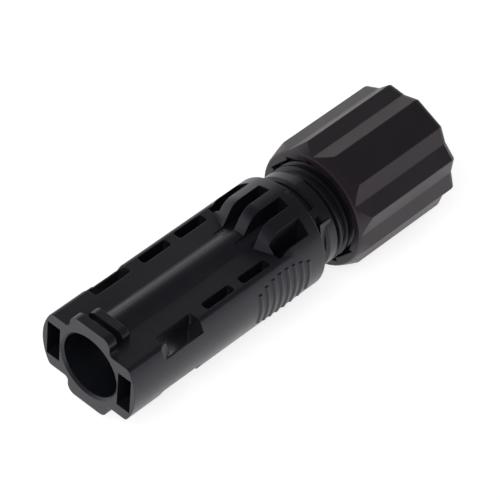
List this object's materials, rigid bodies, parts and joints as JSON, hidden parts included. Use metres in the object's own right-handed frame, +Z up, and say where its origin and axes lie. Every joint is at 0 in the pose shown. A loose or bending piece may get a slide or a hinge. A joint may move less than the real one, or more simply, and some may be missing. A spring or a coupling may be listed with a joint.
{
  "type": "solar cable connector",
  "caption": "In-line solar cable connector with a wide round socket mouth, side latch windows, finned flare and a fluted back nut loosened on its threaded neck",
  "frame": {"origin": "centre of the round socket mouth, on the mating face", "axes": "+X runs back along the contact to the cable end, +Z is up through the flat top, +Y is to the left seen from the mating face's front looking back along +X"},
  "size_m": [0.068, 0.0208, 0.0208],
  "materials": {
    "shell_plastic": "fine moulded, satin black",
    "insulator_plastic": "fine moulded, satin black",
    "nut_plastic": "fine moulded, satin brown-black",
    "cage_plastic": "moulded black",
    "seal_rubber": "soft matt rubber",
    "tinned_copper": "tin plate",
    "spring_steel": "bright spring steel"
  },
  "bodies": {
    "housing": {"outer_shell": "shell_plastic", "insulator_body": "insulator_plastic", "contact_pin": "tinned_copper", "retention_clip": "spring_steel"},
    "cage": {"clamping_cage": "cage_plastic", "wire_seal": "seal_rubber"},
    "nut": {"back_nut": "nut_plastic"}
  },
  "joints": [
    {"name": "cage_slide", "type": "slide", "parent": "housing", "child": "cage", "axis": [1, 0, 0], "range_m": [-0.0045, 0]},
    {"name": "nut_turn", "type": "hinge", "parent": "cage", "child": "nut", "pos_m": [0, 0, 0], "axis": [1, 0, 0], "range_deg": [-1080, 0]}
  ],
  "couplings": [
    {"joint": "nut_turn", "follows": "cage_slide", "rad_per_m": 4188.8}
  ]
}
